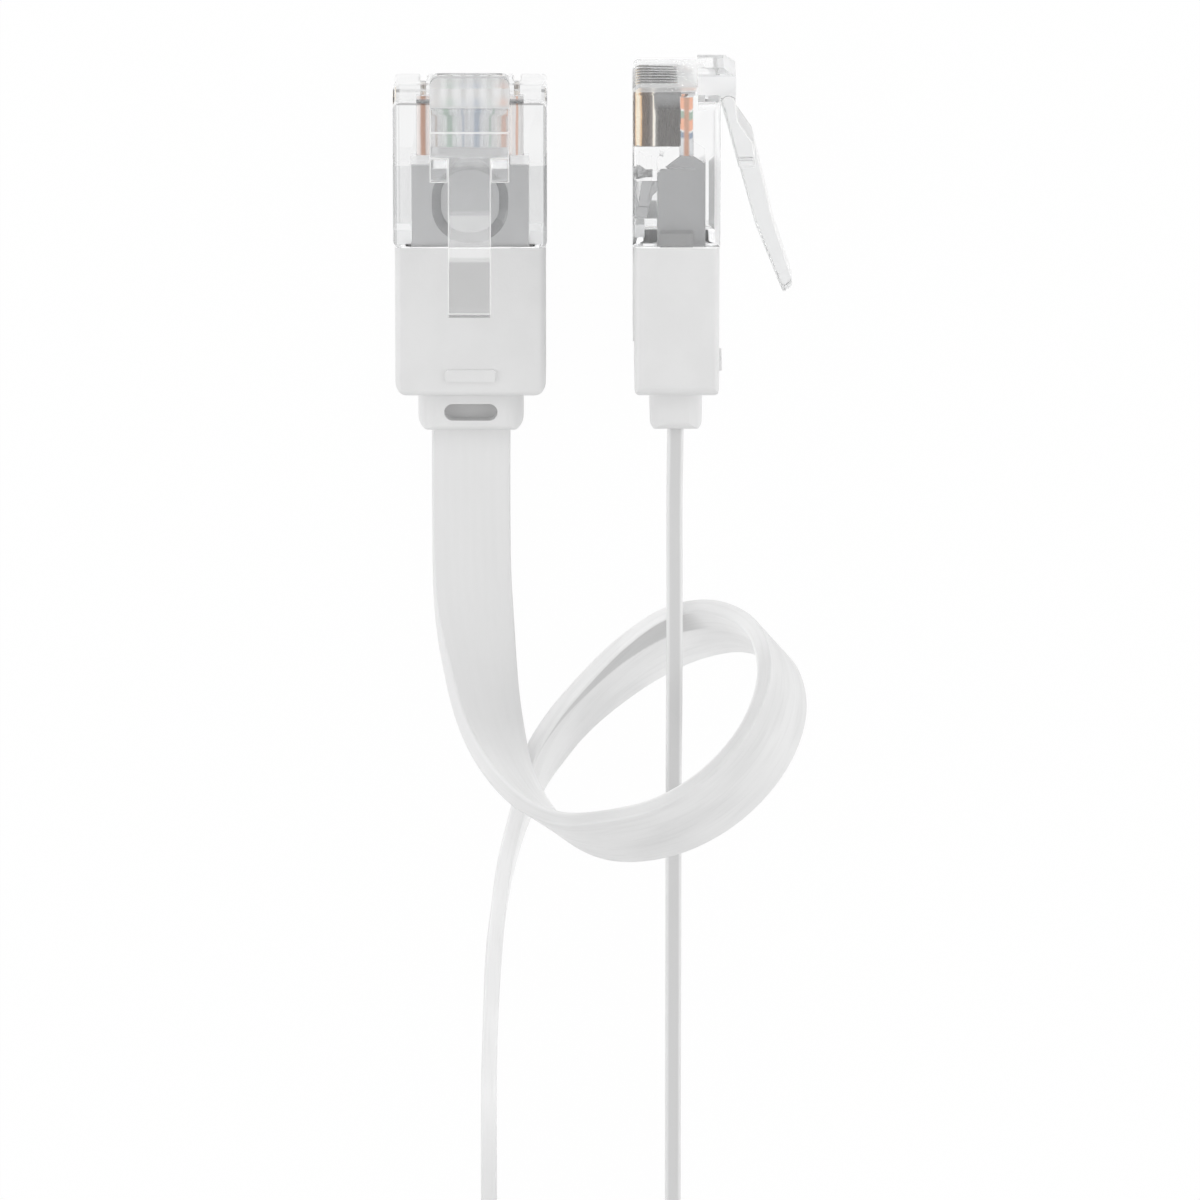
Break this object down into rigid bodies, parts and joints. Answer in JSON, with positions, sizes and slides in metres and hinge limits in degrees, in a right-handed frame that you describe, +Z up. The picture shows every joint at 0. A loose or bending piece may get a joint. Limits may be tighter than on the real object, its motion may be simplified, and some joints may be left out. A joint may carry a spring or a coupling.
{
  "type": "ethernet patch cable",
  "caption": "Flat white ethernet patch cord with clear modular plugs, moulded boots and sprung latches; the cord makes a loop and ends in a tied coil.",
  "frame": {"origin": "on the table, midway between the two plugs across and along them", "axes": "+Z up, +Y the way both plugs go into their jacks, +X from the plug that lies flat to the plug on its edge"},
  "size_m": [0.0649, 0.1643, 0.02],
  "materials": {
    "clear_plastic": "clear, glossy polycarbonate",
    "boot_plastic": "fine satin moulded PVC",
    "cord_jacket": "satin flexible PVC",
    "inner_mould": "satin white moulding",
    "gold_plate": "gold plated",
    "tie_strap": "soft strap",
    "wire_white_orange": "insulated wire",
    "wire_orange": "insulated wire",
    "wire_white_green": "insulated wire",
    "wire_blue": "insulated wire",
    "wire_white_blue": "insulated wire",
    "wire_green": "insulated wire",
    "wire_white_brown": "insulated wire",
    "wire_brown": "insulated wire"
  },
  "bodies": {
    "cable": {"plug_a_housing": "clear_plastic", "plug_a_clamp": "clear_plastic", "plug_a_mould": "inner_mould", "plug_a_boot": "boot_plastic", "plug_a_contact_1": "gold_plate", "plug_a_contact_2": "gold_plate", "plug_a_contact_3": "gold_plate", "plug_a_contact_4": "gold_plate", "plug_a_contact_5": "gold_plate", "plug_a_contact_6": "gold_plate", "plug_a_contact_7": "gold_plate", "plug_a_contact_8": "gold_plate", "plug_a_wire_1": "wire_white_orange", "plug_a_wire_2": "wire_orange", "plug_a_wire_3": "wire_white_green", "plug_a_wire_4": "wire_blue", "plug_a_wire_5": "wire_white_blue", "plug_a_wire_6": "wire_green", "plug_a_wire_7": "wire_white_brown", "plug_a_wire_8": "wire_brown", "plug_b_housing": "clear_plastic", "plug_b_clamp": "clear_plastic", "plug_b_mould": "inner_mould", "plug_b_boot": "boot_plastic", "plug_b_contact_1": "gold_plate", "plug_b_contact_2": "gold_plate", "plug_b_contact_3": "gold_plate", "plug_b_contact_4": "gold_plate", "plug_b_contact_5": "gold_plate", "plug_b_contact_6": "gold_plate", "plug_b_contact_7": "gold_plate", "plug_b_contact_8": "gold_plate", "plug_b_wire_1": "wire_white_orange", "plug_b_wire_2": "wire_orange", "plug_b_wire_3": "wire_white_green", "plug_b_wire_4": "wire_blue", "plug_b_wire_5": "wire_white_blue", "plug_b_wire_6": "wire_green", "plug_b_wire_7": "wire_white_brown", "plug_b_wire_8": "wire_brown", "cable_run_a": "cord_jacket", "cable_run_b": "cord_jacket", "cable_coil": "cord_jacket", "coil_tie": "tie_strap"},
    "latch_a": {"plug_a_latch": "clear_plastic"},
    "latch_b": {"plug_b_latch": "clear_plastic"}
  },
  "joints": [
    {"name": "latch_a_press", "type": "hinge", "parent": "cable", "child": "latch_a", "pos_m": [-0.00928, 0.0107, 0.00722], "axis": [1, 0, 0], "range_deg": [0, 14], "stiffness_Nm_per_rad": 0.2},
    {"name": "latch_b_press", "type": "hinge", "parent": "cable", "child": "latch_b", "pos_m": [0.01025, 0.0118, 0.00584], "axis": [0, 0, -1], "range_deg": [0, 14], "stiffness_Nm_per_rad": 0.2}
  ]
}
